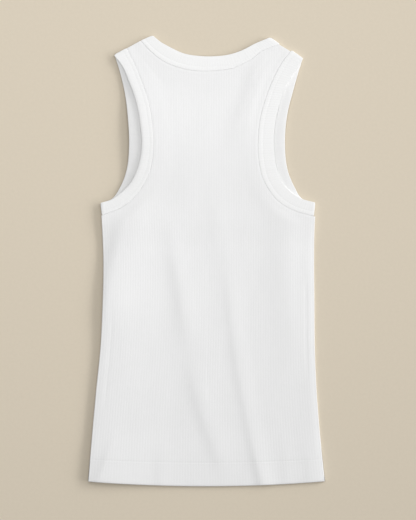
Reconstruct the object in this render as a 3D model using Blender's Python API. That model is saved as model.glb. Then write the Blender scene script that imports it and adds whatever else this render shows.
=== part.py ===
"""Ribbed tank top lying flat on its front, with its back panel up.

Five cut pieces. A front and a back panel in rib knit lie on each other, each with its bottom
edge turned up into a hem. Three folded rib bands are rings, round the neck and the armholes.
A ring lies half on the back layer and half in the front layer, and turns over at its ends.

Metres, +Z up and +Y towards the neck. The cloth rests on z = 0, and the origin is under the
middle of its box. Sizes and tables below are in millimetres.
"""
import math

import bmesh
import bpy
import numpy as np

MM = 0.001

# Cloth
CLOTH = 1.1             # one layer of rib knit
DOUBLE = 2.0            # two layers: a band or a hem
GAP = 0.3               # between two pieces
SEAM_GAP = 0.35         # in plan, between the cut edge of a panel and its band
RIB_COUNT = 86          # ribs across the body
RIB_RISE = 0.45
BAND_RIB_PITCH = 3.5    # ribs that run across a band
BAND_RIB_RISE = 0.3
INSIDE_COLUMNS = 34     # the plain inside of the back panel needs fewer points than its ribs
PLAIN_COLUMNS = 12      # and the front panel, which shows no rib, fewer still

# The body
HEM_LINE = -315.0       # lowest point of the bottom edge
HEM_CORNER = 7.0        # its corners lie this much higher
HEM_WIDTH = 34.0        # turned up
HEM_SLOPE = 5.0         # the step from double to single cloth
HALF_HEM = 165.0
FIRST_ROW = 2.0         # from the bottom edge to the next row of points
ROW_STEP = 34.0
ROW_COUNT = 18
STRAIGHT_FROM = 120.0   # rows are straight from this height above the hem line
EDGE_ROUND = 2.5        # the side edges round off over this width
EDGE_DROP = 0.5         # and down by this much
LIFT_FROM = 20.0        # the back layer rises over the front layer's bands between these heights
LIFT_TO = 60.0
LIFT_EDGE = 8.0
STRAP_DOUBLE_FROM = 262.0   # seam allowances make the front straps double above this height
STRAP_DOUBLE_TO = 276.0

FOLD_OUT = GAP / 2 + DOUBLE     # outer radius of a band where it turns over to the other layer
BAND_HIGH = DOUBLE + GAP        # underside of a band on the back layer
PLAIN_STEP = 6.0                # along a band with no ribs
CUT_STEP = 4.0                  # along the edge of a panel
FOLD_TURNS = (30, 60, 90, 120, 150)

# Side edges, as they lie: height, left x, right x
SIDES = (
    (82, -148.5, 153.0),
    (42, -146.0, 151.0),
    (0, -144.5, 150.5),
    (-60, -145.5, 151.0),
    (-120, -148.5, 151.5),
    (-180, -154.5, 154.0),
    (-240, -160.0, 158.5),
    (-320, -166.5, 166.5),
)

# Bands, as they lie. Each row is one place along the band: edge x, edge y, seam x, seam y.
# The first and the last row are the folds where the ring turns over.
NECK_BACK = (
    (-74.4, 314.5, -91.4, 305.1),
    (-65.0, 306.9, -79.4, 294.0),
    (-50.5, 298.6, -61.4, 279.7),
    (-32.3, 290.4, -39.3, 270.4),
    (-9.2, 286.5, -11.6, 265.4),
    (9.0, 286.1, 10.4, 265.8),
    (29.3, 288.2, 34.9, 269.2),
    (50.3, 294.9, 60.8, 280.8),
    (67.8, 304.0, 77.6, 293.5),
    (87.2, 312.1, 102.0, 303.3),
)
NECK_FRONT = (
    (-74.4, 314.5, -91.4, 305.1),
    (-64.0, 285.0, -84.0, 278.0),
    (-52.0, 245.0, -70.5, 236.0),
    (-30.0, 217.0, -41.0, 199.5),
    (5.0, 207.0, 5.0, 186.5),
    (40.0, 216.0, 51.0, 199.0),
    (64.0, 245.0, 82.5, 236.0),
    (76.0, 283.0, 95.5, 277.0),
    (87.2, 312.1, 102.0, 303.3),
)
LEFT_BACK = (
    (-128.7, 286.7, -110.8, 296.3),
    (-119.1, 275.0, -102.1, 279.0),
    (-107.2, 247.9, -90.1, 250.7),
    (-97.7, 219.9, -80.2, 219.9),
    (-92.3, 189.1, -75.3, 189.1),
    (-90.5, 163.9, -73.7, 163.9),
    (-94.3, 135.9, -76.9, 133.1),
    (-103.0, 114.2, -85.1, 111.4),
    (-115.6, 98.9, -101.2, 88.3),
    (-132.4, 86.0, -123.3, 72.5),
    (-147.9, 81.3, -146.0, 63.8),
)
LEFT_FRONT = (
    (-128.7, 286.7, -110.8, 296.3),
    (-120.9, 263.3, -101.6, 268.2),
    (-113.9, 232.5, -94.2, 236.0),
    (-110.0, 200.3, -89.8, 201.7),
    (-108.3, 161.1, -88.1, 159.7),
    (-111.0, 131.0, -91.5, 125.4),
    (-120.5, 104.1, -104.4, 92.5),
    (-132.4, 87.0, -123.3, 72.5),
    (-147.9, 81.3, -146.0, 63.8),
)
RIGHT_BACK = (
    (135.0, 282.9, 117.3, 293.2),
    (127.1, 270.8, 106.8, 279.8),
    (113.7, 250.4, 93.4, 255.4),
    (103.7, 226.3, 82.8, 228.0),
    (96.4, 198.2, 74.8, 199.0),
    (93.5, 169.5, 71.9, 169.5),
    (95.2, 144.2, 72.6, 142.8),
    (101.9, 115.9, 80.5, 111.2),
    (116.4, 98.0, 99.6, 84.1),
    (132.9, 87.2, 123.1, 70.2),
    (152.7, 81.6, 150.4, 62.5),
)
RIGHT_FRONT = (
    (135.0, 282.9, 117.3, 293.2),
    (128.3, 264.0, 109.1, 268.9),
    (121.0, 238.1, 101.9, 243.0),
    (113.5, 208.7, 93.9, 212.2),
    (109.5, 165.3, 89.4, 163.9),
    (113.1, 128.2, 93.9, 121.9),
    (122.8, 103.7, 107.0, 91.1),
    (134.3, 88.7, 123.1, 70.2),
    (152.7, 81.6, 150.4, 62.5),
)

# Soft folds of the back layer: top y, bottom y, x at the top, middle and bottom, rise, half width
FOLDS = (
    (80, -150, -53, -38, -19, 1.4, 14),
    (-110, -340, -28, -4, 37, 1.4, 14),
    (60, -345, 27, 45, 88, 1.8, 14),
    (105, -130, -93, -130, -142, 2.4, 16),
    (-200, -345, -120, -137, -160, 1.4, 13),
    (150, -205, 110, 113, 117, 1.2, 18),
    (300, 170, 80, 58, 38, 1.4, 14),
)
FOLD_TAPER = 0.3        # share of a fold's length over which each end dies away

# The block that a panel is cut with reaches past the cloth on all sides
CUT_WIDE = 250.0
CUT_BELOW = -400.0
CUT_LOW = -10.0
CUT_HIGH = 30.0
CUT_MERGE = 0.02        # points of the cut that are nearer than this become one

# One cut across a band: share of the way from seam to edge, share of half the thickness
# (positive outwards), share of the rib's rise
BAND_SECTION = (
    (0.00, -1.0, 0.0),
    (0.00, 0.5, 0.0),
    (0.09, 1.0, 1.0),
    (0.90, 1.0, 1.0),
    (1.00, 0.3, 0.0),
    (0.97, -1.0, 0.0),
)

WHITE = (0.83, 0.83, 0.81, 1.0)
BAND_WHITE = (0.87, 0.87, 0.86, 1.0)


def ramp(value, start, end):
    """Smooth step, from 0 at start to 1 at end."""
    share = min(max((value - start) / (end - start), 0.0), 1.0)
    return share * share * (3 - 2 * share)


def smooth(rows, per_row=10):
    """Points of a smooth curve through the rows of a table."""
    rows = np.array(rows, float)
    spans = np.linalg.norm(np.diff(rows, axis=0), axis=1)[:, None]
    slopes = np.diff(rows, axis=0) / spans
    inner = (slopes[:-1] * spans[1:] + slopes[1:] * spans[:-1]) / (spans[:-1] + spans[1:])
    tangents = np.vstack([slopes[:1], inner, slopes[-1:]])
    points = [rows[0]]
    for i, span in enumerate(spans):
        for t in np.linspace(0, 1, per_row + 1)[1:]:
            leaving = rows[i] * (1 + 2 * t) + tangents[i] * span * t
            arriving = rows[i + 1] * (3 - 2 * t) + tangents[i + 1] * span * (t - 1)
            points.append(leaving * (1 - t) ** 2 + arriving * t ** 2)
    return np.array(points)


def evenly(points, step):
    """The same curve, with its points about a step apart along the middle of the band."""
    middle = (points[:, :2] + points[:, -2:]) / 2
    lengths = np.linalg.norm(np.diff(middle, axis=0), axis=1)
    along = np.concatenate([[0], np.cumsum(lengths)])
    marks = np.linspace(0, along[-1], round(along[-1] / step) + 1)
    return np.column_stack([np.interp(marks, along, column) for column in points.T])


def towards(row, target):
    """A table row moved by the fold's radius towards another, its edge and its seam each."""
    moved = []
    for start, end in ((row[:2], target[:2]), (row[2:], target[2:])):
        start, end = np.array(start), np.array(end)
        moved.extend(start + (end - start) / np.linalg.norm(end - start) * FOLD_OUT)
    return moved


def band_half(rows, guide):
    """A band's half between its folds. Both halves take their end rows from one guide."""
    first = towards(guide[0], guide[1])
    last = towards(guide[-1], guide[-2])
    return smooth([first, *rows[1:-1], last])


def seam_line(rows, guide):
    """The seam of a band's half in plan, from fold to fold, where a panel is cut."""
    half = evenly(band_half(rows, guide), CUT_STEP)
    return [tuple(guide[0][2:]), *map(tuple, half[:, 2:]), tuple(guide[-1][2:])]


SIDE_CURVE = smooth(SIDES)[::-1]


def side_edges(y):
    """Left and right x of the body at a height."""
    return [np.interp(y, SIDE_CURVE[:, 0], SIDE_CURVE[:, k]) for k in (1, 2)]


def folds(x, y):
    """How far the soft folds raise the back layer."""
    rise = 0.0
    for top, bottom, x_top, x_middle, x_bottom, height, width in FOLDS:
        t = (top - y) / (top - bottom)
        if 0 < t < 1:
            centre = x_top * (1 - t) * (1 - 2 * t) + 4 * x_middle * t * (1 - t) + x_bottom * t * (2 * t - 1)
            ends = ramp(t, 0, FOLD_TAPER) * ramp(t, 1, 1 - FOLD_TAPER)
            rise += height * ends * math.exp(-((x - centre) / width) ** 2)
    return rise


def in_hem(above):
    """1 within the turned-up hem, 0 over single cloth, by the height above the bottom edge."""
    return ramp(above, HEM_WIDTH + HEM_SLOPE, HEM_WIDTH)


def from_side(x, y):
    left, right = side_edges(y)
    return max(min(x - left, right - x), 0.0)


def back_inside(x, y, above):
    """Height of the back panel's inner face."""
    over_bands = ramp(y, LIFT_FROM, LIFT_TO) * ramp(from_side(x, y), 0, LIFT_EDGE)
    lift = (DOUBLE - CLOTH) * max(over_bands, in_hem(above))
    return CLOTH + GAP + lift + folds(x, y) * ramp(from_side(x, y), 0, LIFT_EDGE)


def back_outside(x, y, above):
    """Height of the back panel's outer face between its ribs."""
    wall = CLOTH + (DOUBLE - CLOTH) * in_hem(above)
    rounding = EDGE_DROP * ramp(from_side(x, y), EDGE_ROUND, 0)
    return back_inside(x, y, above) + wall - rounding


def front_outside(x, y, above):
    """The face that rests."""
    return 0.0


def front_inside(x, y, above):
    strap = ramp(y, STRAP_DOUBLE_FROM, STRAP_DOUBLE_TO)
    return CLOTH + (DOUBLE - CLOTH) * max(in_hem(above), strap)


def new_object(name, colour, points, faces):
    """A mesh object with its own material, from points in millimetres."""
    mesh = bpy.data.meshes.new(name)
    mesh.from_pydata([[c * MM for c in point] for point in points], [], faces)
    tidy = bmesh.new()
    tidy.from_mesh(mesh)
    bmesh.ops.recalc_face_normals(tidy, faces=tidy.faces)
    tidy.to_mesh(mesh)
    tidy.free()
    piece = bpy.data.objects.new(name, mesh)
    bpy.context.scene.collection.objects.link(piece)
    material = bpy.data.materials.new(name + "_cloth")
    material.use_nodes = True
    shader = material.node_tree.nodes["Principled BSDF"]
    shader.inputs["Base Color"].default_value = colour
    shader.inputs["Roughness"].default_value = 0.9
    shader.inputs["Metallic"].default_value = 0.0
    mesh.materials.append(material)
    return piece


def rows_above_hem():
    """Heights of the panel's rows above the hem line, closest at the hem's step."""
    step_top = HEM_WIDTH + HEM_SLOPE
    return [0.0, FIRST_ROW, HEM_WIDTH, step_top] + [step_top + ROW_STEP * (i + 1) for i in range(ROW_COUNT)]


def grid(columns, height, rib_rise):
    """Rows of points over the whole panel, at a face's height; every other column is a rib."""
    rows = []
    for above in rows_above_hem():
        row = []
        for i in range(columns + 1):
            straight = min(above / STRAIGHT_FROM, 1.0)
            share = i / columns
            y = HEM_LINE + above
            left, right = side_edges(y)
            x = left + (right - left) * share
            y += HEM_CORNER * (x / HALF_HEM) ** 2 * (1 - straight)
            rib = rib_rise if i % 2 else 0.0
            row.append((x, y, height(x, y, above) + rib))
        rows.append(row)
    return rows


def stitch(fine, coarse):
    """Triangles between two chains of point numbers that run side by side."""
    faces = []
    i = j = 0
    while i < len(fine) - 1 or j < len(coarse) - 1:
        fine_share = (i + 0.5) / (len(fine) - 1)
        coarse_share = (j + 0.5) / (len(coarse) - 1)
        if j == len(coarse) - 1 or (i < len(fine) - 1 and fine_share <= coarse_share):
            faces.append((fine[i], fine[i + 1], coarse[j]))
            i += 1
        else:
            faces.append((fine[i], coarse[j + 1], coarse[j]))
            j += 1
    return faces


def wall(name, outer, inner):
    """A closed wall between two grids that have the same rows and any number of columns."""
    points = []
    numbers = []
    for rows in (outer, inner):
        numbers.append([])
        for row in rows:
            numbers[-1].append(list(range(len(points), len(points) + len(row))))
            points.extend(row)
    faces = []
    for rows in numbers:
        for low, high in zip(rows, rows[1:]):
            faces += [(low[i], low[i + 1], high[i + 1], high[i]) for i in range(len(low) - 1)]
    over, under = numbers
    for side in (0, -1):
        for i in range(len(over) - 1):
            faces.append((over[i][side], over[i + 1][side], under[i + 1][side], under[i][side]))
    for end in (0, -1):
        faces += stitch(over[end], under[end])
    return new_object(name, WHITE, points, faces)


def cut_to(piece, outline):
    """Keep what lies inside a plan outline, with a square cut through the wall."""
    count = len(outline)
    points = [(x, y, z) for z in (CUT_LOW, CUT_HIGH) for x, y in outline]
    faces = [tuple(range(count)), tuple(range(count, 2 * count))]
    for i in range(count):
        after = (i + 1) % count
        faces.append((i, after, after + count, i + count))
    cutter = new_object(piece.name + "_outline", WHITE, points, faces)
    cutter.hide_render = True
    cutter.display_type = "WIRE"
    cut = piece.modifiers.new("outline", "BOOLEAN")
    cut.operation = "INTERSECT"
    cut.solver = "EXACT"
    cut.object = cutter
    merge = piece.modifiers.new("merge", "WELD")
    merge.merge_threshold = CUT_MERGE * MM


def panel_outline(neck, left, right):
    """Plan outline that cuts a panel at its seams; it runs wide of the sides and the hem."""
    corners = [(CUT_WIDE, CUT_BELOW), (-CUT_WIDE, CUT_BELOW), (-CUT_WIDE, left[-1][1])]
    return [*corners, *left[::-1], *neck, *right, (CUT_WIDE, right[-1][1])]


def back_panel():
    outer = grid(2 * RIB_COUNT, back_outside, RIB_RISE)
    inner = grid(INSIDE_COLUMNS, back_inside, 0.0)
    piece = wall("back_panel", outer, inner)
    seams = [seam_line(rows, rows) for rows in (NECK_BACK, LEFT_BACK, RIGHT_BACK)]
    cut_to(piece, panel_outline(*seams))


def front_panel():
    outer = grid(PLAIN_COLUMNS, front_outside, 0.0)
    inner = grid(PLAIN_COLUMNS, front_inside, 0.0)
    piece = wall("front_panel", outer, inner)
    halves = ((NECK_FRONT, NECK_BACK), (LEFT_FRONT, LEFT_BACK), (RIGHT_FRONT, RIGHT_BACK))
    cut_to(piece, panel_outline(*[seam_line(rows, guide) for rows, guide in halves]))


def clear_of_seam(rows):
    """Band rows with the seam side moved off the panel."""
    rows = np.array(rows, float)
    across = rows[:, :2] - rows[:, 2:]
    rows[:, 2:] += across / np.linalg.norm(across, axis=1)[:, None] * SEAM_GAP
    return rows


def flat_station(row, side, rib):
    """One cut across a band: side is 1 on the back layer and -1 in the front layer."""
    half = DOUBLE / 2
    middle = BAND_HIGH + half if side > 0 else half
    edge, seam = row[:2], row[2:]
    points = []
    for across, out, ribbed in BAND_SECTION:
        x, y = seam + (edge - seam) * across
        points.append((x, y, middle + side * (out * half + ribbed * rib)))
    return points


def fold_station(inside, outline, angle):
    """One cut where the band turns over, at an angle of 0 on the back layer to 180 in front."""
    half = DOUBLE / 2
    radius = FOLD_OUT - half
    turn = math.radians(angle)
    points = []
    for across, out, ribbed in BAND_SECTION:
        reach = (radius + out * half) * math.sin(turn) / FOLD_OUT
        near = inside[2:] + (inside[:2] - inside[2:]) * across
        far = outline[2:] + (outline[:2] - outline[2:]) * across
        x, y = near + (far - near) * reach
        points.append((x, y, FOLD_OUT + (radius + out * half) * math.cos(turn)))
    return points


def band(name, back, front):
    """A folded rib strip, joined into a ring that turns over at its two ends."""
    over = clear_of_seam(evenly(band_half(back, back), BAND_RIB_PITCH / 2))
    under = clear_of_seam(evenly(band_half(front, back), PLAIN_STEP))
    ends = clear_of_seam([back[0], back[-1]])
    last = len(over) - 1
    stations = [flat_station(row, 1, BAND_RIB_RISE if i % 2 and i < last else 0.0)
                for i, row in enumerate(over)]
    stations += [fold_station(over[-1], ends[1], angle) for angle in FOLD_TURNS]
    stations += [flat_station(row, -1, 0.0) for row in under[::-1]]
    stations += [fold_station(over[0], ends[0], angle) for angle in reversed(FOLD_TURNS)]
    count = len(BAND_SECTION)
    points = [point for station in stations for point in station]
    faces = []
    for s in range(len(stations)):
        here, there = s * count, (s + 1) % len(stations) * count
        for j in range(count):
            k = (j + 1) % count
            faces.append((here + j, here + k, there + k, there + j))
    return new_object(name, BAND_WHITE, points, faces)


def main():
    for thing in list(bpy.data.objects):
        bpy.data.objects.remove(thing, do_unlink=True)
    back_panel()
    front_panel()
    band("neck_band", NECK_BACK, NECK_FRONT)
    band("armhole_band_left", LEFT_BACK, LEFT_FRONT)
    band("armhole_band_right", RIGHT_BACK, RIGHT_FRONT)


main()
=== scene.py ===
"""A white ribbed tank top, laid flat on a pale floor with its back up, seen from straight above.

Each cloth piece is a thin shell on the form of its solid: two rib-knit panels, and three folded
rib bands that turn over at the shoulders and under the arms. Ribs, seams, hem and folds are
in the shells; the knit loops are in the material, whose colour is also darker where the loops
dip: painted shade. Lengths here are in millimetres and become metres when a mesh is made.
"""
import math

import bpy
import numpy as np
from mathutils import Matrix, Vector


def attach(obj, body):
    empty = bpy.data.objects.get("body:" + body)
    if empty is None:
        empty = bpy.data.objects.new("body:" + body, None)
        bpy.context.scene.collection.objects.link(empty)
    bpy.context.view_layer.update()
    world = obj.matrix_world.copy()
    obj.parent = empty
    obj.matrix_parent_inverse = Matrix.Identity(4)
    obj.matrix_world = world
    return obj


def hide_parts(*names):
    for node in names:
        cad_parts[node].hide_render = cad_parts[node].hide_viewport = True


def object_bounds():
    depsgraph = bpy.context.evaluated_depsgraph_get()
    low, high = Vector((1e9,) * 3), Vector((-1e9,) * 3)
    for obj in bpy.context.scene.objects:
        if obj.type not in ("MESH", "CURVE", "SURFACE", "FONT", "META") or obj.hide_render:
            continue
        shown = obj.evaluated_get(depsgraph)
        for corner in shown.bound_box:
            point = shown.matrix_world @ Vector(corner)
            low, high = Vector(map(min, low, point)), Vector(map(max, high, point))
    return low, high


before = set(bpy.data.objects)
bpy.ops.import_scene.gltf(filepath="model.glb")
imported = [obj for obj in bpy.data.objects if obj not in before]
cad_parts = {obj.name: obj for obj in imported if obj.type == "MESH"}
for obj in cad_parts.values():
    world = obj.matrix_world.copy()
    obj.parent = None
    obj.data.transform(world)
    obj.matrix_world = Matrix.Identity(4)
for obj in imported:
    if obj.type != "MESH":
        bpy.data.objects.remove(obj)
solid_low, solid_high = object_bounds()

MM = 0.001
TAU = 2 * math.pi

# ---------------------------------------------------------------- cloth sizes
CLOTH = 1.1                 # one layer of rib knit
DOUBLE = 2.0                # two layers: a band or a hem
GAP = 0.3                   # between two pieces
RIB_COUNT = 86              # ribs across the body
RIB_SHARES = (0.0, 0.06, 0.12, 0.5, 0.88, 0.94)    # points of a rib, from groove to groove
# The rib in each side fold has more points, from the fold inwards
EDGE_SHARES = (0.0, 0.05, 0.11, 0.18, 0.26, 0.35, 0.45, 0.56, 0.70, 0.85)
RIB_RISE = 0.04             # lying flat, the ribs are almost pulled smooth
GROOVE = 0.06               # half width of the groove between ribs, as a share of a rib
INSIDE_COLUMNS = 72         # the plain inside of a panel needs fewer points than its ribs
INSIDE_RELIEF = 0.5         # where the inside is worked out, the ribs count as this high
BAND_RIB_PITCH = 3.5        # ribs that run across a band
BAND_RIB_RISE = 0.05
BAND_STEP = 0.5             # between the rows of a band, before its ribs are placed on them
SMOOTH_ANGLE, BAND_SMOOTH_ANGLE = 50, 60    # edges sharper than this stay sharp, in degrees
THINNEST = 0.3              # no wall of the back layer is thinner than this

# ---------------------------------------------------------------- the body
HEM_LINE = solid_low.y / MM     # lowest point of the bottom edge
HEM_CORNER = 7.0                # its corners lie this much higher
HALF_HEM = 165.0                # and are this far from the middle
HEM_WIDTH = 34.0
HEM_SLOPE = 5.0                 # the hem's second layer ends over this height
HEM_GROOVE = (33.2, 1.0, 0.12)  # the stitching pulls a groove: height above the edge, width, depth
HEM_CURL = 0.5                  # the bottom edge rises this much over the hem
HEM_LIFT_FROM = 85.0            # the cloth starts to rise over the front's hem from here
HEM_ROUND = 2.2                 # the bottom edge rounds off over this width
HEM_DROP, HEM_OPEN = 0.9, 0.25  # there its outside comes down and its inside goes up this much
STRAIGHT_FROM = 120.0           # rows are straight from this height above the hem line
SIDE_ROUND = 0.9                # the side fold rounds off over this width
SIDE_FULLNESS = 3.0             # 2 would make it a quarter of a circle; more makes it boxier
SIDE_WALL = 0.9                 # thickness of the cloth where it turns down
TUCK = 0.7                      # the turned-down edge ends this far inside the fold
TUCK_REACH = (0.15, 2.6)        # what lies this near to the fold moves in with it: outside, inside
# Relief along the side folds of the back layer: sign of x, full below y, none above y,
# how far from the side, how wide, how high
SIDE_SHAPES = (
    (-1, -90, 20, 0.0, 75.0, 3.0),
    (-1, -60, 20, 0.0, 5.0, -0.2),
    (1, -20, 30, 0.0, 24.0, 0.4),
    (1, 40, 75, 0.0, 6.0, -0.6),
)
SHOULDER_ROUND, SHOULDER_DROP = 2.4, 0.45   # the back's edge rounds off at the shoulder
SHOULDER_CLOSED = (12.0, 6.0)   # the layers close between these distances from that edge
SHOULDER_INSIDE = DOUBLE + 0.03     # and from there on the back lies this high, just off the front
SHOULDER_SEAM = (4.2, 0.8, 0.12)    # the shoulder seam: distance behind the fold, width, depth
TURN_LOW, INSIDE_LOW = 0.35, 0.02   # the turned-down edge ends here, outside and inside
LIFT_FROM, LIFT_TO = 20.0, 60.0     # the back layer rises over the front's bands between these y
FRONT_INSET = 3.4               # the front panel ends inside the side fold
FRONT_RIBS = 0.6                # its ribs are pressed flat to this share
FRONT_SIDE_ROUND = 2.0          # its side edges round off over this width
FRONT_EDGE_IN = 0.25            # at its sides and bottom edge the faces come in by this much
FRONT_HEM_RISE = 0.5            # but the face that rests rises this much at the bottom edge
STRAP_DOUBLE_FROM, STRAP_DOUBLE_TO = 262.0, 276.0   # the front's straps turn double between these y
BAND_HIGH = DOUBLE + GAP        # underside of a band on the back layer
FOLD_OUT = GAP / 2 + DOUBLE     # outer radius of a band where it turns over
CUT_STEP = 3.0                  # between the points of a panel's cut edge
WIDE, BELOW = 250.0, -400.0     # x and y well outside the garment
CUT_LOW, CUT_HIGH = -10.0, 30.0     # z well under and over it
OUTER, INNER = 0, 1             # faces of a panel

# Rows of a panel's points, by height above the hem line: up to this height, this far apart.
# They are close together at the bottom edge, the hem's stitching, the underarms and the shoulders.
ROW_BANDS = (
    (1.8, 0.6),
    (25.0, 3.0),
    (40.0, 0.75),
    (374.0, 4.5),
    (408.0, 1.5),
    (574.0, 4.0),
    (640.0, 1.3),
)

# Side edges, as they lie: height, left x, right x
SIDES = (
    (82, -148.5, 153.0),
    (42, -146.0, 151.0),
    (0, -144.5, 150.5),
    (-60, -145.5, 151.0),
    (-120, -148.5, 151.5),
    (-180, -154.5, 154.0),
    (-240, -160.0, 158.5),
    (-320, -166.5, 166.5),
)

# Bands, as they lie. Each row is one place along the band: edge x, edge y, seam x, seam y.
# In a back half the first and the last row are the folds where the ring turns over. A front half
# shares them and has only the rows between.
NECK_BACK = (
    (-74.4, 314.5, -92.4, 307.9),
    (-65.0, 306.9, -79.4, 294.0),
    (-50.5, 298.6, -61.4, 279.7),
    (-32.3, 290.4, -39.3, 270.4),
    (-9.2, 286.5, -11.6, 265.4),
    (9.0, 286.1, 10.4, 265.8),
    (29.3, 288.2, 34.9, 269.2),
    (50.3, 294.9, 60.8, 280.8),
    (67.8, 304.0, 77.6, 293.5),
    (87.2, 312.1, 101.4, 302.7),
)
NECK_FRONT = (
    (-64.0, 285.0, -84.0, 278.0),
    (-52.0, 245.0, -70.5, 236.0),
    (-30.0, 217.0, -41.0, 199.5),
    (5.0, 207.0, 5.0, 186.5),
    (40.0, 216.0, 51.0, 199.0),
    (64.0, 245.0, 82.5, 236.0),
    (76.0, 283.0, 95.5, 277.0),
)
LEFT_BACK = (
    (-129.2, 287.4, -111.3, 297.4),
    (-119.1, 275.0, -102.1, 279.0),
    (-107.2, 247.9, -90.1, 250.7),
    (-97.7, 219.9, -80.2, 219.9),
    (-92.3, 189.1, -75.3, 189.1),
    (-90.5, 163.9, -73.7, 163.9),
    (-94.3, 135.9, -76.9, 133.1),
    (-103.0, 114.2, -85.1, 111.4),
    (-115.6, 98.9, -101.2, 88.3),
    (-132.4, 86.0, -123.3, 72.5),
    (-147.9, 81.3, -146.0, 63.8),
)
LEFT_FRONT = (
    (-120.9, 263.3, -101.6, 268.2),
    (-113.9, 232.5, -94.2, 236.0),
    (-110.0, 200.3, -89.8, 201.7),
    (-108.3, 161.1, -88.1, 159.7),
    (-111.0, 131.0, -91.5, 125.4),
    (-120.5, 104.1, -104.4, 92.5),
    (-132.4, 87.0, -123.3, 72.5),
)
RIGHT_BACK = (
    (135.0, 282.9, 117.3, 293.2),
    (127.1, 270.8, 106.8, 279.8),
    (113.7, 250.4, 93.4, 255.4),
    (103.7, 226.3, 82.8, 228.0),
    (96.4, 198.2, 74.8, 199.0),
    (93.5, 169.5, 71.9, 169.5),
    (95.2, 144.2, 72.6, 142.8),
    (101.9, 115.9, 80.5, 111.2),
    (116.4, 98.0, 99.6, 84.1),
    (132.9, 87.2, 123.1, 70.2),
    (152.7, 81.6, 150.4, 62.5),
)
RIGHT_FRONT = (
    (128.3, 264.0, 109.1, 268.9),
    (121.0, 238.1, 101.9, 243.0),
    (113.5, 208.7, 93.9, 212.2),
    (109.5, 165.3, 89.4, 163.9),
    (113.1, 128.2, 93.9, 121.9),
    (122.8, 103.7, 107.0, 91.1),
    (133.2, 87.6, 123.1, 70.2),
)
HALVES = {
    "neck": (NECK_BACK, NECK_FRONT),
    "left": (LEFT_BACK, LEFT_FRONT),
    "right": (RIGHT_BACK, RIGHT_FRONT),
}
NODES = {"neck": "neck_band", "left": "armhole_band_left", "right": "armhole_band_right"}

# Soft folds of the back layer: top y, bottom y, x at the top, middle and bottom,
# rise at the top, middle and bottom, width of the flank on the left and on the right
FOLDS = (
    (70, -145, -52, -37, -20, 0.0, 0.9, 0.0, 12, 19),
    (-115, -322, -27, -3, 35, 0.0, 0.80, 0.0, 11, 19),
    (100, -300, -45, -20, 28, 0.0, 0.57, 0.0, 20, 40),
    (110, -40, 13, 17, 25, 0.0, 0.35, 0.0, 12, 26),
    (60, -400, 27, 49, 104, 0.0, 0.8, 1.85, 9, 16),
    (105, -130, -93, -130, -142, 0.0, 2.8, 0.0, 17, 48),
    (105, -50, -76, -95, -124, 0.0, 0.9, 0.0, 50, 55),
    (-220, -400, -122, -150, -190, 0.0, 1.2, 1.2, 10, 60),
    (170, -205, 109, 113, 117, 0.0, 1.1, 0.0, 26, 19),
    (330, 140, 91, 60, 32, 0.5, 1.0, 0.0, 13, 24),
    (-240, -400, -62, -64, -66, 0.0, 0.3, 0.2, 8, 10),
    (-220, -400, 108, 112, 116, 0.0, 0.3, 0.2, 9, 10),
    (-235, -400, 140, 146, 152, 0.0, 0.3, 0.2, 7, 9),
)
FOLD_FADE = 30.0            # a fold that is still raised at its end dies out over this length
FOLD_LEVEL = (0.4, 0.6)     # it has its middle height between these shares of its length
SEAM_CALM = 18.0            # folds die out over this distance from the bands

# Fine creases along the side folds: sign of x, top y, bottom y, how far from the side, depth
SIDE_CREASES = (
    (-1, -60, -215, 14.0, 0.13),
    (1, -10, -180, 12.0, 0.17),
)
CREASE_WIDTH = 2.4
CREASE_FADE = 40.0          # a crease starts and dies out over this length

# Where a whole layer stands up a little: x, y, width across, width along, height
BACK_HILLS = (
    (-95, 175, 155, 80, 6.7),
    (-150, 20, 60, 80, 0.7),
)
FRONT_HILLS = (
    (-105, 177, 55, 78, 6.4),
)

# Slow unevenness of the cloth: wavelength along x, along y, start, height
WAVES = (
    (92, 240, 0.4, 0.05),
    (57, -170, 2.1, 0.04),
    (38, 310, 4.0, 0.02),
)

# Beside each band the cloth rises to meet it, and then dips into the seam: rise and dip
SEAMS = {"neck": (0.80, 0.04), "left": (0.76, 0.0), "right": (1.00, 0.10)}
SEAM_RAISE_WIDTH = 22.0
SEAM_DIP_WIDTH = 0.8
SEAM_RIDGE = (3.0, 1.8, 0.08)   # how far from the seam, how wide, how high
SEAM_GAP = 0.08             # the sewn edges meet almost face to face

# The inside of a band is flat at these shares of the way from seam to edge. They lie closer
# together where the front half's curl starts.
FLAT_INSIDE = (0.92, 0.84, 0.76, 0.68, 0.6, 0.52, 0.45, 0.39, 0.34, 0.3, 0.265, 0.23, 0.18)
# One cut across a band: share of the way from seam to edge, height in mm, share of the rib
BAND_PROFILE = (
    (0.006, 0.30, 0.0),
    (0.000, 0.90, 0.0),
    (0.003, 1.55, 0.2),
    (0.012, 1.77, 0.4),
    (0.030, 1.84, 0.6),
    (0.066, 1.88, 1.0),
    (0.110, 1.90, 1.0),
    (0.160, 1.91, 1.0),
    (0.215, 1.90, 1.0),
    (0.265, 1.87, 1.0),
    (0.300, 1.83, 0.8),
    (0.320, 1.80, 0.6),
    (0.340, 1.83, 0.8),
    (0.380, 1.86, 1.0),
    (0.500, 1.87, 1.0),
    (0.640, 1.87, 1.0),
    (0.780, 1.87, 1.0),
    (0.900, 1.85, 1.0),
    (0.960, 1.82, 1.0),
    (0.987, 1.80, 1.0),
    (0.994, 1.79, 1.0),
    (0.998, 1.76, 1.0),
    (1.000, 1.66, 1.0),
    (1.000, 1.35, 1.0),
    (1.000, 0.60, 1.0),
    (0.998, 0.25, 1.0),
    (0.990, 0.08, 0.8),
    (0.972, 0.00, 0.6),
    *((share, 0.00, 0.5) for share in FLAT_INSIDE),
    (0.110, 0.00, 0.3),
    (0.040, 0.06, 0.0),
)
PROFILE_TOP = slice(2, 19)  # the rows of the profile that lie on top, from seam to edge
STITCH_SHARE = 0.32         # where the band's row of stitches lies across it
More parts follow.
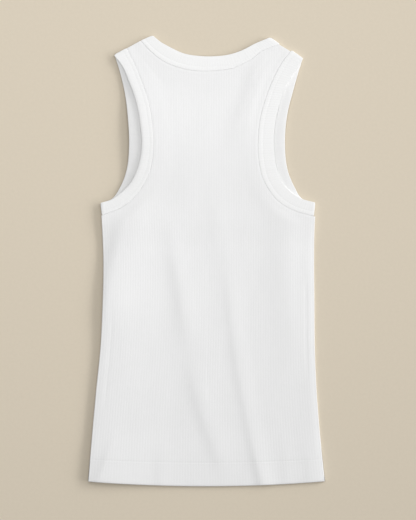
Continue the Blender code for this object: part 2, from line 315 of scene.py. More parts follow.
# Along the middle of each band: how far the free edge of its front half rises or, if negative,
# comes down, how far the outermost part of its back half rolls down, and how arched the first is
CURLS = {"neck": (0.0, 0.15, 1.0), "left": (-2.3, 0.5, 0.2), "right": (1.6, 0.0, 1.0)}
CURL_FROM = 0.22            # the curl and the roll start at these shares of the band's width
ROLL_FROM = 0.78
CURL_ENDS = 0.25            # they start and die out over this share of a half's length
BAND_NOMINAL = 20.0         # width of a band, for the slopes of its profile
FOLD_TURNS = tuple(range(15, 180, 15))
FOLD_FULLNESS = 0.30        # 1 would make the fold round; less makes it fuller
FOLD_CORNER = 0.35          # its corners fall this share short
FOLD_CORNER_POWER = 8       # how suddenly they do
# Where they turn over, the bands stand this far beyond the body: edge side and seam side at the
# first fold, edge side and seam side at the last fold
PROUD = {
    "neck": (1.9, 0.5, 2.4, 2.0),
    "left": (1.1, 0.9, 0.8, 0.5),
    "right": (0.8, 2.7, -0.7, -0.3),
}

# ---------------------------------------------------------------- curves and heights


def ramp(value, start, end):
    """Smooth step, from 0 at start to 1 at end."""
    share = np.clip((value - start) / (end - start), 0.0, 1.0)
    return share * share * (3 - 2 * share)


def bump(value, middle, width, height):
    """A rounded rise, highest where the value is the middle."""
    return height * np.exp(-((value - middle) / width) ** 2)


def smooth(rows, per_row=10):
    """Points of a smooth curve through the rows of a table."""
    rows = np.array(rows, float)
    spans = np.linalg.norm(np.diff(rows, axis=0), axis=1)[:, None]
    slopes = np.diff(rows, axis=0) / spans
    inner = (slopes[:-1] * spans[1:] + slopes[1:] * spans[:-1]) / (spans[:-1] + spans[1:])
    tangents = np.vstack([slopes[:1], inner, slopes[-1:]])
    points = [rows[0]]
    for i, span in enumerate(spans):
        for t in np.linspace(0, 1, per_row + 1)[1:]:
            leaving = rows[i] * (1 + 2 * t) + tangents[i] * span * t
            arriving = rows[i + 1] * (3 - 2 * t) + tangents[i + 1] * span * (t - 1)
            points.append(leaving * (1 - t) ** 2 + arriving * t ** 2)
    return np.array(points)


def run_along(line):
    """Distance along a line to each of its points."""
    return np.concatenate([[0], np.cumsum(np.linalg.norm(np.diff(line, axis=0), axis=1))])


def band_run(rows):
    """Distance along the middle of a band to each of its rows."""
    return run_along((rows[:, :2] + rows[:, 2:]) / 2)


def sample(points, run, distances):
    """Points at distances along a curve; run is the distance to each point that it has."""
    return np.column_stack([np.interp(distances, run, column) for column in points.T])


def evenly(rows, step):
    """The same band, with its rows about a step apart along its middle."""
    run = band_run(rows)
    return sample(rows, run, np.linspace(0, run[-1], round(run[-1] / step) + 1))


def towards(row, target):
    """A table row moved by the fold's radius towards another, its edge and its seam each."""
    moved = []
    for start, end in ((row[:2], target[:2]), (row[2:], target[2:])):
        start, end = np.array(start), np.array(end)
        moved.extend(start + (end - start) / np.linalg.norm(end - start) * FOLD_OUT)
    return moved


def band_half(back, between):
    """A half of a band: its rows between the folds, and ends that both halves take from the back."""
    first = towards(back[0], back[1])
    last = towards(back[-1], back[-2])
    return smooth([first, *between, last])


def seam_line(back, between):
    """The seam of a band's half in plan, from fold to fold."""
    half = evenly(band_half(back, between), CUT_STEP)
    return [tuple(back[0][2:]), *map(tuple, half[:, 2:]), tuple(back[-1][2:])]


SIDE_CURVE = smooth(SIDES)[::-1]


def side_edges(y):
    """Left and right x of the body at a height."""
    return [np.interp(y, SIDE_CURVE[:, 0], SIDE_CURVE[:, k]) for k in (1, 2)]


def from_side(x, y):
    """Distance in from the nearer side edge, and 0 outside."""
    left, right = side_edges(y)
    return np.maximum(np.minimum(x - left, right - x), 0.0)


def from_line(line, x, y):
    """Distance in plan from points to a line."""
    nearest = np.full(np.shape(x), np.inf)
    for (ax, ay), (bx, by) in zip(line, line[1:]):
        dx, dy = bx - ax, by - ay
        t = np.clip(((x - ax) * dx + (y - ay) * dy) / (dx * dx + dy * dy), 0, 1)
        nearest = np.minimum(nearest, np.hypot(x - ax - t * dx, y - ay - t * dy))
    return nearest


def through(t, top, middle, bottom):
    """A curve through three values, by the share of the length."""
    return top * (1 - t) * (1 - 2 * t) + 4 * middle * t * (1 - t) + bottom * t * (2 * t - 1)


def eased(t, top, middle, bottom):
    """From value to value with level ends and a level middle, by the share of the length."""
    level_from, level_to = FOLD_LEVEL
    return top + (middle - top) * ramp(t, 0, level_from) + (bottom - middle) * ramp(t, level_to, 1)


def folds(x, y):
    """How far the soft folds and the slow waves raise the back layer."""
    rise = np.zeros(np.shape(x))
    for top, bottom, x_top, x_middle, x_bottom, *rises, left, right in FOLDS:
        t = np.clip((top - y) / (top - bottom), 0, 1)
        centre = through(t, x_top, x_middle, x_bottom)
        width = np.where(x < centre, left, right)
        ends = ramp(y, top + FOLD_FADE, top) * ramp(y, bottom - FOLD_FADE, bottom)
        rise += ends * eased(t, *rises) * np.exp(-((x - centre) / width) ** 2)
    for length_x, length_y, start, height in WAVES:
        rise += height * (1 + np.sin(TAU * (x / length_x + y / length_y) + start))
    return rise


def side_relief(x, y):
    """The bulge, the droop and the fine creases along the side folds of the back layer."""
    side = from_side(x, y)
    rise = np.zeros(np.shape(x))
    for sign, full, none, *shape in SIDE_SHAPES:
        rise += (x * sign > 0) * ramp(y, none, full) * bump(side, *shape)
    for sign, top, bottom, distance, depth in SIDE_CREASES:
        along = ramp(y, top, top - CREASE_FADE) * ramp(y, bottom, bottom + CREASE_FADE)
        rise -= (x * sign > 0) * along * bump(side, distance, CREASE_WIDTH, depth)
    return rise


def hills(table, x, y):
    """How far a whole layer stands up."""
    rise = np.zeros(np.shape(x))
    for middle_x, middle_y, across, along, height in table:
        rise += height * np.exp(-((x - middle_x) / across) ** 2 - ((y - middle_y) / along) ** 2)
    return rise


def in_hem(above):
    """1 within the turned-up hem, 0 over single cloth, by the height above the bottom edge."""
    return ramp(above, HEM_WIDTH + HEM_SLOPE, HEM_WIDTH)


def round_off(distance, radius, fullness=2.0):
    """0 away from an edge and 1 on it, along a quarter of a circle or, if fuller, a boxier curve."""
    near = np.clip(1 - distance / radius, 0, 1)
    return 1 - (1 - near ** fullness) ** (1 / fullness)


class Panel:
    """A body panel: where its seams run and how high its faces lie."""

    def __init__(self, neck, left, right):
        self.neck, self.left, self.right = neck, left, right
        self.shoulders = ([left[0], neck[0]], [neck[-1], right[0]])

    def outline(self):
        """Plan outline through the seams; it runs wide of the sides and the hem."""
        left, right = self.left[::-1], self.right
        return [(WIDE, BELOW), (-WIDE, BELOW), (-WIDE, left[0][1]), *left, *self.neck, *right,
                (WIDE, right[-1][1])]

    def from_seams(self, x, y):
        seams = (self.neck, self.left, self.right)
        return np.minimum.reduce([from_line(line, x, y) for line in seams])

    def from_shoulders(self, x, y):
        return np.minimum.reduce([from_line(line, x, y) for line in self.shoulders])


class BackPanel(Panel):
    """The upper layer, which reaches out to the side folds and turns down there."""

    inset, tuck = 0.0, TUCK

    def beside_seams(self, x, y):
        """How far the cloth rises to meet the bands, and how far it dips into the seams."""
        rise = dip = 0 * x
        for key, line in (("neck", self.neck), ("left", self.left), ("right", self.right)):
            distance = from_line(line, x, y)
            raise_height, dip_depth = SEAMS[key]
            rise = np.maximum(rise, bump(distance, 0, SEAM_RAISE_WIDTH, raise_height))
            dip = np.maximum(dip, bump(distance, 0, SEAM_DIP_WIDTH, dip_depth))
        return rise, dip

    def faces(self, x, y, above, relief):
        """Heights of the outer and the inner face."""
        side, seam = from_side(x, y), self.from_seams(x, y)
        shoulder = self.from_shoulders(x, y)
        over_bands = ramp(y, LIFT_FROM, LIFT_TO)
        over_hem = ramp(above, HEM_LIFT_FROM, HEM_WIDTH)
        lift = (DOUBLE - CLOTH) * np.maximum(over_bands, over_hem)
        rise, dip = self.beside_seams(x, y)
        rest = CLOTH + GAP + lift + side_relief(x, y) + hills(BACK_HILLS, x, y) + rise
        rest = rest + folds(x, y) * ramp(seam, 0, SEAM_CALM) + HEM_CURL * ramp(above, HEM_WIDTH, 0)
        outer = rest + CLOTH + relief - bump(above, *HEM_GROOVE)
        outer = outer + bump(seam, *SEAM_RIDGE) - dip - bump(shoulder, *SHOULDER_SEAM)
        outer = outer - SHOULDER_DROP * round_off(shoulder, SHOULDER_ROUND)
        on_front = SHOULDER_INSIDE + hills(FRONT_HILLS, x, y)
        inner = rest - (rest - on_front) * ramp(shoulder, *SHOULDER_CLOSED)
        turned = round_off(side, SIDE_ROUND, SIDE_FULLNESS)
        turned_inside = round_off(side - SIDE_WALL, SIDE_ROUND, SIDE_FULLNESS)
        outer = outer - (outer - TURN_LOW) * turned
        inner = inner - (inner - INSIDE_LOW) * turned_inside
        outer = np.maximum(outer - HEM_DROP * round_off(above, HEM_ROUND), TURN_LOW)
        inner = inner + HEM_OPEN * round_off(above, HEM_ROUND)
        return outer, np.clip(inner, INSIDE_LOW, outer - THINNEST)


class FrontPanel(Panel):
    """The lower layer, which ends inside the side folds."""

    inset, tuck = FRONT_INSET, 0.0

    def faces(self, x, y, above, relief):
        """Heights of the face that rests and of the inner face."""
        strap = ramp(y, STRAP_DOUBLE_FROM, STRAP_DOUBLE_TO)
        inner = CLOTH + (DOUBLE - CLOTH) * np.maximum(in_hem(above), strap)
        side, bottom = round_off(from_side(x, y), FRONT_SIDE_ROUND), round_off(above, HEM_ROUND)
        inner = inner - FRONT_EDGE_IN * side - FRONT_EDGE_IN * bottom
        outer = RIB_RISE * FRONT_RIBS - FRONT_RIBS * relief
        outer = outer + FRONT_EDGE_IN * side + FRONT_HEM_RISE * bottom
        rise = hills(FRONT_HILLS, x, y)
        return np.maximum(outer, 0.0) + rise, inner + rise


# ---------------------------------------------------------------- meshes


def new_piece(name, points, faces, uvs=None):
    """A piece from points in millimetres; uvs holds one pair for each point."""
    mesh = bpy.data.meshes.new(name)
    mesh.from_pydata((np.asarray(points) * MM).tolist(), [], faces)
    if uvs is not None:
        write_uvs(mesh, np.asarray(uvs, float))
    mesh.validate()
    piece = bpy.data.objects.new(name, mesh)
    bpy.context.scene.collection.objects.link(piece)
    return piece


def write_uvs(mesh, uvs):
    layer = mesh.uv_layers.new(name="cloth")
    corners = np.empty(len(mesh.loops), int)
    mesh.loops.foreach_get("vertex_index", corners)
    layer.data.foreach_set("uv", uvs[corners].ravel())


def select_only(piece):
    bpy.ops.object.select_all(action="DESELECT")
    piece.select_set(True)
    bpy.context.view_layer.objects.active = piece


def face_outwards(piece):
    select_only(piece)
    bpy.ops.object.mode_set(mode="EDIT")
    bpy.ops.mesh.select_all(action="SELECT")
    bpy.ops.mesh.normals_make_consistent(inside=False)
    bpy.ops.object.mode_set(mode="OBJECT")


def smooth_shade(piece, degrees=SMOOTH_ANGLE):
    select_only(piece)
    bpy.ops.object.shade_smooth_by_angle(angle=math.radians(degrees))


def stitch(fine, coarse):
    """Triangles between two chains of point numbers that run side by side."""
    faces = []
    i = j = 0
    while i < len(fine) - 1 or j < len(coarse) - 1:
        fine_share = (i + 0.5) / (len(fine) - 1)
        coarse_share = (j + 0.5) / (len(coarse) - 1)
        if j == len(coarse) - 1 or (i < len(fine) - 1 and fine_share <= coarse_share):
            faces.append((fine[i], fine[i + 1], coarse[j]))
            i += 1
        else:
            faces.append((fine[i], coarse[j + 1], coarse[j]))
            j += 1
    return faces


def rows_above_hem():
    """Heights of a panel's rows above the hem line."""
    heights = [0.0]
    for top, step in ROW_BANDS:
        count = round((top - heights[-1]) / step)
        heights += list(np.linspace(heights[-1], top, count + 1)[1:])
    return np.array(heights)


def inside_marks():
    """Rib counts at the columns of a panel's plain inside."""
    marks = np.linspace(1, RIB_COUNT - 1, INSIDE_COLUMNS - 1)
    edge = np.array(EDGE_SHARES[::2])
    return np.concatenate([edge, marks, RIB_COUNT - edge[::-1]])


def tucked_under(x, tuck, reach):
    """Places across the body, row by row, with those next to the side folds moved inwards."""
    near_left = np.clip(1 - (x - x[:, :1]) / reach, 0, 1)
    near_right = np.clip(1 - (x[:, -1:] - x) / reach, 0, 1)
    return x + tuck * (near_left - near_right)


def row_places(share, above, inset=0.0):
    """x and y at shares of the way across the body, in rows that curve with the hem."""
    left, right = side_edges(HEM_LINE + above)
    x = left + inset + (right - left - 2 * inset) * share
    straight = np.clip(above / STRAIGHT_FROM, 0, 1)
    return x, HEM_LINE + above + HEM_CORNER * (x / HALF_HEM) ** 2 * (1 - straight)


def rib_profile(count):
    """Height of a rib, 0 in the groove to 1, by the number of ribs passed."""
    return 1 - np.exp(-((count - np.round(count)) / GROOVE) ** 2)


def rib_marks(count):
    """Counts of ribs passed at each point across a number of whole ribs."""
    return np.append((np.arange(count)[:, None] + RIB_SHARES).ravel(), count)


def panel_marks():
    """Rib counts at the panel's columns, which are closer together in the two side folds."""
    marks = rib_marks(RIB_COUNT)
    marks = marks[(marks >= 1) & (marks <= RIB_COUNT - 1)]
    edge = np.array(EDGE_SHARES)
    return np.concatenate([edge, marks, RIB_COUNT - edge[::-1]])


def panel_grid(panel, face):
    """Points of one of a panel's faces, in rows across the body."""
    marks = panel_marks() if face == OUTER else inside_marks()
    ribs = rib_profile(marks) if face == OUTER else INSIDE_RELIEF
    above = rows_above_hem()[:, None]
    x, y = row_places(marks / RIB_COUNT, above, panel.inset)
    height = panel.faces(x, y, above + 0 * x, RIB_RISE * ribs)[face]
    return np.stack([tucked_under(x, panel.tuck, TUCK_REACH[face]), y, height], axis=-1)


def panel_shell(name, panel):
    """A closed, ribbed wall, cut to the panel's outline."""
    grids = [panel_grid(panel, face) for face in (OUTER, INNER)]
    points = np.concatenate([grid.reshape(-1, 3) for grid in grids])
    faces, numbers, start = [], [], 0
    for grid in grids:
        rows, columns = grid.shape[:2]
        number = start + np.arange(rows * columns).reshape(rows, columns)
        corners = (number[:-1, :-1], number[:-1, 1:], number[1:, 1:], number[1:, :-1])
        faces += np.stack(corners, axis=-1).reshape(-1, 4).tolist()
        numbers.append(number.tolist())
        start += rows * columns
    over, under = numbers
    for side in (0, -1):
        for i in range(len(over) - 1):
            faces.append((over[i][side], over[i + 1][side], under[i + 1][side], under[i][side]))
    for end in (0, -1):
        faces += stitch(over[end], under[end])
    piece = new_piece(name, points, faces)
    face_outwards(piece)
    cut_to(piece, panel.outline())
    cloth_map(piece, panel.inset)
    smooth_shade(piece)
    return piece


def cut_to(piece, outline):
    """Keep what lies inside a plan outline, with a square cut through the wall."""
    count = len(outline)
    points = [(x, y, z) for z in (CUT_LOW, CUT_HIGH) for x, y in outline]
    faces = [tuple(range(count)), tuple(range(count, 2 * count))]
    faces += [(i, (i + 1) % count, (i + 1) % count + count, i + count) for i in range(count)]
    cutter = new_piece("outline_cutter", points, faces)
    face_outwards(cutter)
    cut = piece.modifiers.new("outline", "BOOLEAN")
    cut.operation = "INTERSECT"
    cut.solver = "MANIFOLD"
    cut.object = cutter
    select_only(piece)
    bpy.ops.object.modifier_apply(modifier=cut.name)
    bpy.data.objects.remove(cutter, do_unlink=True)


def cloth_map(piece, inset):
    """Map the panel by ribs across and millimetres along, for the knit pattern."""
    mesh = piece.data
    places = np.empty(len(mesh.vertices) * 3)
    mesh.vertices.foreach_get("co", places)
    places = places.reshape(-1, 3) / MM
    left, right = side_edges(places[:, 1])
    share = (places[:, 0] - left - inset) / (right - left - 2 * inset)
    write_uvs(mesh, np.column_stack([share * RIB_COUNT, places[:, 1]]))


def clear_of_seam(rows):
    """Band rows with the seam side moved just off the panel."""
    rows = np.array(rows, float)
    across = rows[:, :2] - rows[:, 2:]
    rows[:, 2:] += across / np.linalg.norm(across, axis=1)[:, None] * SEAM_GAP
    return rows


def profile_normals():
    """Outward directions round the band's profile, across it and upwards."""
    places = np.array([(share * BAND_NOMINAL, height) for share, height, _ in BAND_PROFILE])
    run = np.roll(places, -1, axis=0) - np.roll(places, 1, axis=0)
    run /= np.linalg.norm(run, axis=1)[:, None]
    return np.column_stack([-run[:, 1], run[:, 0]])


PROFILE = np.array(BAND_PROFILE)
PROFILE_OUT = profile_normals()


def middle_share(share):
    """0 at a half's ends and 1 along most of its middle."""
    return ramp(share, 0, CURL_ENDS) * ramp(share, 1, 1 - CURL_ENDS)


def cut_across(rib):
    """Shares across and heights out of one cut through a band, with its rib raised."""
    raised = PROFILE[:, 2] * rib * BAND_RIB_RISE
    across = PROFILE[:, 0] + PROFILE_OUT[:, 0] * raised / BAND_NOMINAL
    out = PROFILE[:, 1] + PROFILE_OUT[:, 1] * raised
    return across, out


def between_sides(row, across):
    """Places in plan at shares of the way across a band's row, from its seam to its edge."""
    edge, seam = row[:2], row[2:]
    return seam + (edge - seam) * np.reshape(across, (-1, 1))


def back_station(row, rib, roll):
    """One cut across a band's half on the back layer, its edge rolled down."""
    across, out = cut_across(rib)
    place = between_sides(row, across)
    beyond = np.clip((across - ROLL_FROM) / (1 - ROLL_FROM), 0, 1)
    height = BAND_HIGH + out - roll * beyond ** 2 + hills(BACK_HILLS, *place.T)
    return np.column_stack([place, np.maximum(height, 0.0)])


def front_station(row, rib, curl, arch):
    """One cut across a band's half in the front layer, its free edge curled."""
    across, out = cut_across(rib)
    place = between_sides(row, across)
    beyond = np.clip((across - CURL_FROM) / (1 - CURL_FROM), 0, 1)
    height = np.maximum(DOUBLE - out, 0.0) + hills(FRONT_HILLS, *place.T)
    height = height + curl * beyond * (1 + arch * (1 - beyond))
    return np.column_stack([place, np.maximum(height, 0.0)])


def fold_station(inside, outline, angle):
    """One cut where the band turns over, at an angle of 0 on the back layer to 180 in front."""
    across, out = cut_across(1.0)
    turn = math.radians(angle)
    radius = GAP / 2 + out
    corners = FOLD_CORNER * (2 * across - 1) ** FOLD_CORNER_POWER
    outwards = math.sin(turn) ** FOLD_FULLNESS * (1 - corners)
    upwards = math.copysign(abs(math.cos(turn)) ** FOLD_FULLNESS, 90 - angle)
    near, far = between_sides(inside, across), between_sides(outline, across)
    place = near + (far - near) * (radius * outwards / FOLD_OUT)[:, None]
    height = np.maximum(FOLD_OUT + radius * upwards, 0.0)
    over = (1 + math.cos(turn)) / 2
    rise = over * hills(BACK_HILLS, *place.T) + (1 - over) * hills(FRONT_HILLS, *place.T)
    return np.column_stack([place, height + rise])


def ribbed_rows(back, between):
    """A band's half as rows at the points of its ribs, and the rib count at each row."""
    fine = clear_of_seam(evenly(band_half(back, between), BAND_STEP))
    run = band_run(fine)
    count = round(run[-1] / BAND_RIB_PITCH)
    marks = rib_marks(count)
    return sample(fine, run, marks / count * run[-1]), marks


def proud(row, inner, at_edge, at_seam):
    """A band's end row, moved outwards from the row next to it."""
    run = np.array(row[:2]) - inner[:2] + row[2:] - inner[2:]
    run /= np.linalg.norm(run)
    return [*(row[:2] + run * at_edge), *(row[2:] + run * at_seam)]


def band_ring(key):
    """The cuts round a whole band, and the rib count at each of them."""
    back, front = HALVES[key]
    curl, roll, arch = CURLS[key]
    over, over_marks = ribbed_rows(back, back[1:-1])
    under, under_marks = ribbed_rows(back, front)
    beyond_first, beyond_last = PROUD[key][:2], PROUD[key][2:]
    first = proud(back[0], back[1], *beyond_first)
    last = proud(back[-1], back[-2], *beyond_last)
    first, last = clear_of_seam([first, last])
    turn_ribs = math.pi * FOLD_OUT / BAND_RIB_PITCH
    stations, marks = [], []
    for row, mark in zip(over, over_marks):
        rolled = roll * middle_share(mark / over_marks[-1])
        stations.append(back_station(row, rib_profile(mark), rolled))
        marks.append(mark)
    for angle in FOLD_TURNS:
        stations.append(fold_station(over[-1], last, angle))
        marks.append(over_marks[-1] + turn_ribs * angle / 180)
    for row, mark in zip(under[::-1], under_marks):
        curled = curl * middle_share(mark / under_marks[-1])
        stations.append(front_station(row, rib_profile(mark), curled, arch))
        marks.append(over_marks[-1] + turn_ribs + mark)
    for angle in reversed(FOLD_TURNS):
        stations.append(fold_station(over[0], first, angle))
        marks.append(over_marks[-1] + under_marks[-1] + turn_ribs * (2 - angle / 180))
    return stations, marks


def band_shell(name, key):
    """A folded rib strip, joined into a ring that turns over at its two folds."""
    stations, marks = band_ring(key)
    count, total = len(BAND_PROFILE), len(stations)
    number = np.arange(total * count).reshape(total, count)
    after, beside = np.roll(number, -1, axis=0), np.roll(number, -1, axis=1)
    quads = np.stack([number, beside, np.roll(after, -1, axis=1), after], axis=-1).reshape(-1, 4)
    uvs = [(mark, share * BAND_NOMINAL) for mark in marks for share in PROFILE[:, 0]]
    piece = new_piece(name, np.concatenate(stations), quads.tolist(), uvs)
    face_outwards(piece)
    smooth_shade(piece, BAND_SMOOTH_ANGLE)
    return piece


# ---------------------------------------------------------------- stitching
THREAD_LENGTH = 2.5
THREAD_STEP = 3.1
THREAD_HALF_WIDTH = 0.20
THREAD_HALF_HEIGHT = 0.12
THREAD_SINK = 0.06          # it is pulled this far into the cloth
THREAD_ENDS = 0.6           # 1 would leave a stitch an ellipsoid; less makes its ends blunter
HEM_STITCHES = (3.6, 0.8)   # the hem's two rows lie this far under its top
HEM_STITCH_ENDS = 0.012     # and stop at this share of the width from the side folds
HEM_STITCH_POINTS = 260
BAND_STITCH_STEP = 1.0      # between the points of a band's row


def one_stitch():
    """The points and faces of one stitch that lies along x, made from a primitive."""
    bpy.ops.object.select_all(action="DESELECT")
    lengthwise = (0, math.pi / 2, 0)
    bpy.ops.mesh.primitive_uv_sphere_add(segments=8, ring_count=6, radius=1.0, rotation=lengthwise)
    ball = bpy.context.active_object
    bpy.ops.object.transform_apply(rotation=True)
    points = np.array([v.co[:] for v in ball.data.vertices])
    faces = [tuple(face.vertices) for face in ball.data.polygons]
    bpy.data.objects.remove(ball, do_unlink=True)
    points[:, 0] = np.sign(points[:, 0]) * np.abs(points[:, 0]) ** THREAD_ENDS
    return points * (THREAD_LENGTH / 2, THREAD_HALF_WIDTH, THREAD_HALF_HEIGHT), faces


def stitching(name, lines):
    """Rows of stitches along lines of points in millimetres, as one mesh."""
    shape, shape_faces = one_stitch()
    points, faces = [], []
    for line in lines:
        run = run_along(line)
        for middle in np.arange(THREAD_STEP, run[-1] - THREAD_STEP, THREAD_STEP):
            spots = (middle - THREAD_LENGTH / 2, middle, middle + THREAD_LENGTH / 2)
            back, here, ahead = sample(line, run, spots)
            forward = (ahead - back) / np.linalg.norm(ahead - back)
            side = np.array([-forward[1], forward[0], 0.0])
            up = np.cross(forward, side)
            start = len(points) * len(shape)
            here = here - up * THREAD_SINK
            along, across, high = shape[:, :1], shape[:, 1:2], shape[:, 2:]
            points.append(here + along * forward + across * side + high * up)
            faces += [tuple(start + k for k in face) for face in shape_faces]
    piece = new_piece(name, np.concatenate(points), faces)
    face_outwards(piece)
    smooth_shade(piece)
    return piece


def hem_lines(panel):
    """Two rows of stitches over the top of the hem."""
    lines = []
    share = np.linspace(HEM_STITCH_ENDS, 1 - HEM_STITCH_ENDS, HEM_STITCH_POINTS)
    for under_top in HEM_STITCHES:
        above = HEM_WIDTH - under_top
        x, y = row_places(share, above)
        height = panel.faces(x, y, above + 0 * x, 0 * x)[OUTER]
        lines.append(np.column_stack([x, y, height]))
    return lines


def band_line(key):
    """The band's row of stitches, on its back half."""
    back = HALVES[key][0]
    rows = clear_of_seam(evenly(band_half(back, back[1:-1]), BAND_STITCH_STEP))
    place = rows[:, 2:] + (rows[:, :2] - rows[:, 2:]) * STITCH_SHARE
    shares, heights = PROFILE[PROFILE_TOP, 0], PROFILE[PROFILE_TOP, 1]
    height = BAND_HIGH + np.interp(STITCH_SHARE, shares, heights)
    return [np.column_stack([place, height + hills(BACK_HILLS, *place.T)])]


# ---------------------------------------------------------------- materials


class Signal:
    """A shader socket; arithmetic on it adds Math nodes."""

    def __init__(self, finish, socket):
        self.finish, self.socket = finish, socket

    def __add__(self, other):
        return self.finish.maths("ADD", self, other)

    def __radd__(self, other):
        return self.finish.maths("ADD", other, self)

    def __sub__(self, other):
        return self.finish.maths("SUBTRACT", self, other)

    def __rsub__(self, other):
        return self.finish.maths("SUBTRACT", other, self)

    def __mul__(self, other):
        return self.finish.maths("MULTIPLY", self, other)


class Finish:
    """A material that is built from a Principled shader."""

    def __init__(self, name):
        self.material = bpy.data.materials.new(name)
        self.material.use_nodes = True
        self.tree = self.material.node_tree
        self.shader = self.tree.nodes["Principled BSDF"]

    def node(self, kind, inputs, output=0, **settings):
        """Add a node: its settings first, then the values or links of its sockets."""
        made = self.tree.nodes.new(kind)
        for key, value in settings.items():
            setattr(made, key, value)
        for key, value in inputs.items():
            if isinstance(value, Signal):
                self.tree.links.new(value.socket, made.inputs[key])
            else:
                made.inputs[key].default_value = value
        return Signal(self, made.outputs[output])

    def maths(self, operation, first, second=0.0):
        return self.node("ShaderNodeMath", {0: first, 1: second}, operation=operation)

    def mix_colours(self, share, low, high):
        return self.node("ShaderNodeMix", {0: share, 6: low, 7: high}, output=2, data_type="RGBA")

    def object_place(self):
        return self.node("ShaderNodeTexCoord", {}, output=3)

    def noise(self, place, scale, detail):
        return self.node("ShaderNodeTexNoise", {"Vector": place, "Scale": scale, "Detail": detail})

    def bumps(self, height, strength, distance):
        inputs = {"Strength": strength, "Distance": distance, "Height": height}
        return self.node("ShaderNodeBump", inputs)

    def feed(self, **sockets):
        for key, value in sockets.items():
            socket = self.shader.inputs[key.replace("_", " ")]
            if isinstance(value, Signal):
                self.tree.links.new(value.socket, socket)
            else:
                socket.default_value = value
        return self.material


# Each pair is the deep and the light colour that a texture mixes. In the knit, the deep colour
# where the loops dip is painted shade; the fluff and the streaks are the cloth's own tone
BODY_COLOURS = ((0.748, 0.748, 0.746, 1), (0.832, 0.832, 0.832, 1))
BAND_COLOURS = ((0.775, 0.775, 0.77, 1), (0.865, 0.865, 0.863, 1))
THREAD_COLOURS = ((0.68, 0.68, 0.675, 1), (0.78, 0.78, 0.775, 1))
FLOOR_COLOURS = ((0.62, 0.55, 0.44, 1), (0.66, 0.585, 0.47, 1))
WALES_PER_RIB = 4           # equal columns of loops
COURSE = 0.8                # height of one row of loops
LOOP_SLANT = 0.5            # of a row, from a column's middle to its sides
LOOP_SWING = 0.25           # half the rise and fall along a column, as a share of its height
STREAKS = (1.0, 0.02, 1.0)  # thick and thin spun thread shows in long streaks along the ribs
SHADE_SHARES = (0.55, 0.25, 0.35)   # of the loops, the fluff and the streaks in the colour; the loops' part is painted shade
RELIEF_SHARES = (0.7, 0.3)          # of the loops and the fluff in the relief
KNIT_BUMP, THREAD_BUMP = 0.00018, 0.0001    # relief of the knit and of the thread, in metres


def rib_knit(name, colours):
    """Cotton rib knit: loops in wales, with thin and thick spun thread, and painted shade where the
    loops dip.
    """
    finish = Finish(name)
    place = finish.node("ShaderNodeUVMap", {}, uv_map="cloth")
    split = finish.node("ShaderNodeSeparateXYZ", {"Vector": place}).socket.node
    ribs, length = (Signal(finish, output) for output in split.outputs[:2])
    wale = finish.maths("FRACT", ribs * WALES_PER_RIB)
    leg = finish.maths("ABSOLUTE", wale * 2 - 1)
    loops = finish.maths("SINE", (length * (1 / COURSE) + leg * LOOP_SLANT) * TAU)
    crown = 1 - leg * leg
    loop_relief_and_shade = crown * (loops * LOOP_SWING + (1 - LOOP_SWING))
    spread = finish.node("ShaderNodeVectorMath", {0: place, 1: STREAKS}, operation="MULTIPLY")
    thick = finish.noise(spread, scale=1.3, detail=2.0)
    fluff = finish.noise(finish.object_place(), scale=900.0, detail=3.0)
    # Painted shade: the colour darkens where the loops dip, from the same heights that the bump uses
    loop_pattern_share, fluff_share, thick_share = SHADE_SHARES
    shade = loop_relief_and_shade * loop_pattern_share + fluff * fluff_share + thick * thick_share
    colour = finish.mix_colours(shade, *colours)
    loop_pattern_share, fluff_share = RELIEF_SHARES
    normal = finish.bumps(loop_relief_and_shade * loop_pattern_share + fluff * fluff_share, strength=0.35, distance=KNIT_BUMP)
    return finish.feed(Base_Color=colour, Roughness=0.94 - fluff * 0.12, Normal=normal,
                       Metallic=0.0, Sheen_Weight=0.15, Sheen_Roughness=0.5)


def thread(name):
    """Matt sewing thread with a twist."""
    finish = Finish(name)
    twist = finish.noise(finish.object_place(), scale=2500.0, detail=2.0)
    colour = finish.mix_colours(twist, *THREAD_COLOURS)
    normal = finish.bumps(twist, strength=0.3, distance=THREAD_BUMP)
    return finish.feed(Base_Color=colour, Roughness=0.75 + twist * 0.1, Normal=normal, Metallic=0.0)


def pale_floor(name):
    """A matt, plain surface with a faint grain."""
    finish = Finish(name)
    grain = finish.noise(finish.object_place(), scale=260.0, detail=3.0)
    colour = finish.mix_colours(grain, *FLOOR_COLOURS)
    return finish.feed(Base_Color=colour, Roughness=0.9 + grain * 0.05, Metallic=0.0)


# ---------------------------------------------------------------- the garment


def dress(piece, material):
    """Give a piece its material and body."""
    piece.data.materials.clear()
    piece.data.materials.append(material)
    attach(piece, "root")
    return piece


def make_garment():
    """All cloth and stitching, and how each cloth piece is cut and laid."""
    body_knit = rib_knit("body_rib_knit", BODY_COLOURS)
    band_knit = rib_knit("band_rib_knit", BAND_COLOURS)
    sewing = thread("sewing_thread")
    back = BackPanel(*[seam_line(rows, rows[1:-1]) for rows, _ in HALVES.values()])
    front = FrontPanel(*[seam_line(*halves) for halves in HALVES.values()])

    back_cloth = dress(panel_shell("back_body", back), body_knit)
    front_cloth = dress(panel_shell("front_body", front), body_knit)
    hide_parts("back_panel")
    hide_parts("front_panel")
    hem = dress(stitching("hem_stitching", hem_lines(back)), sewing)

    bands = {}
    for key, node in NODES.items():
        strip = dress(band_shell(node + "_cloth", key), band_knit)
        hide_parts(node)
        sewn = dress(stitching(node + "_stitching", band_line(key)), sewing)
        bands[key] = (strip, sewn)

    for key, length in (("neck", 0.53), ("left", 0.46), ("right", 0.47)):
        strip, sewn = bands[key]


# ---------------------------------------------------------------- floor, light and camera
VIEW_HEIGHT = 728.0             # what the camera takes in from top to bottom, in millimetres
VIEW_MIDDLE = (2.0, 1.5)
SENSOR = 36.0
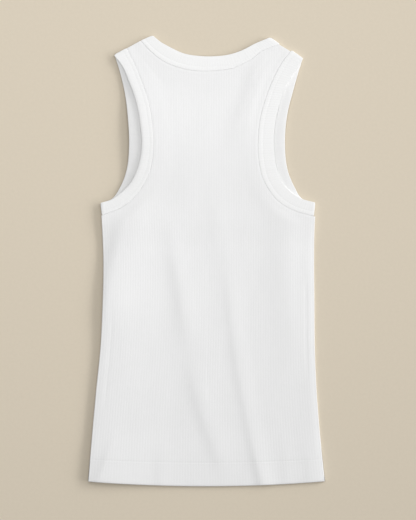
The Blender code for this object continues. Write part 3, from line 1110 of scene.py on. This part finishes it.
# From here on, lengths are in metres
CAMERA_HEIGHT = 2.4
FLOOR_SIZE = 14.0
FLOOR_DROP = 0.0002             # the floor lies this far under the garment
SKY_STRENGTH = 0.295
WINDOW_AZIMUTHS = (-8.0, 16.0, 40.0)    # a wide, soft window, as a grid of suns
WINDOW_ELEVATIONS = (16.0, 23.0)
WINDOW_SPREAD = 16.0            # of each sun; all three are in degrees
WINDOW_STRENGTH = 0.49
OVERHEAD_PLACE = (0.0, 0.6, 1.3)
OVERHEAD_AIM = (0.0, 0.6, 0.0)
OVERHEAD_SIZE, OVERHEAD_POWER = 2.2, 14.2


def make_floor():
    """A plain floor, just under the garment."""
    bpy.ops.object.select_all(action="DESELECT")
    bpy.ops.mesh.primitive_plane_add(size=FLOOR_SIZE, location=(0, 0, -FLOOR_DROP))
    floor = bpy.context.active_object
    floor.name = "floor"
    floor.data.materials.append(pale_floor("pale_floor"))
    bpy.ops.object.transform_apply(location=True)


def overhead_light():
    """A weak, broad lamp over the floor beyond the neck."""
    light = bpy.data.lights.new("overhead", "AREA")
    light.shape = "DISK"
    light.size = OVERHEAD_SIZE
    light.energy = OVERHEAD_POWER
    lamp = bpy.data.objects.new("overhead", light)
    lamp.location = OVERHEAD_PLACE
    beam = Vector(OVERHEAD_AIM) - Vector(OVERHEAD_PLACE)
    lamp.rotation_euler = beam.to_track_quat("-Z", "Y").to_euler()
    bpy.context.scene.collection.objects.link(lamp)


def window_light(azimuth, elevation):
    """Broad, even light from a side; the azimuth turns it from the right towards the top."""
    light = bpy.data.lights.new("window", "SUN")
    light.angle = math.radians(WINDOW_SPREAD)
    light.energy = WINDOW_STRENGTH
    lamp = bpy.data.objects.new("window", light)
    turn, lift = math.radians(azimuth), math.radians(elevation)
    level = math.cos(lift)
    towards_lamp = Vector((math.cos(turn) * level, math.sin(turn) * level, math.sin(lift)))
    lamp.rotation_euler = towards_lamp.to_track_quat("Z", "Y").to_euler()
    bpy.context.scene.collection.objects.link(lamp)


def make_light():
    """An even sky, a low window at the right and a weak lamp overhead."""
    world = bpy.data.worlds.new("studio")
    world.use_nodes = True
    background = world.node_tree.nodes["Background"]
    background.inputs["Color"].default_value = (1.0, 1.0, 1.0, 1.0)
    background.inputs["Strength"].default_value = SKY_STRENGTH
    bpy.context.scene.world = world
    bpy.context.scene.view_settings.view_transform = "Standard"
    for azimuth in WINDOW_AZIMUTHS:
        for elevation in WINDOW_ELEVATIONS:
            window_light(azimuth, elevation)
    overhead_light()


def make_camera():
    """A camera straight above, far enough away to see the garment almost without perspective."""
    camera = bpy.data.cameras.new("camera")
    camera.sensor_fit = "VERTICAL"
    camera.sensor_height = SENSOR
    camera.lens = SENSOR * CAMERA_HEIGHT / (VIEW_HEIGHT * MM)
    eye = bpy.data.objects.new("camera", camera)
    eye.location = (VIEW_MIDDLE[0] * MM, VIEW_MIDDLE[1] * MM, CAMERA_HEIGHT)
    bpy.context.scene.collection.objects.link(eye)
    bpy.context.scene.camera = eye


make_camera()
make_light()
make_floor()
make_garment()
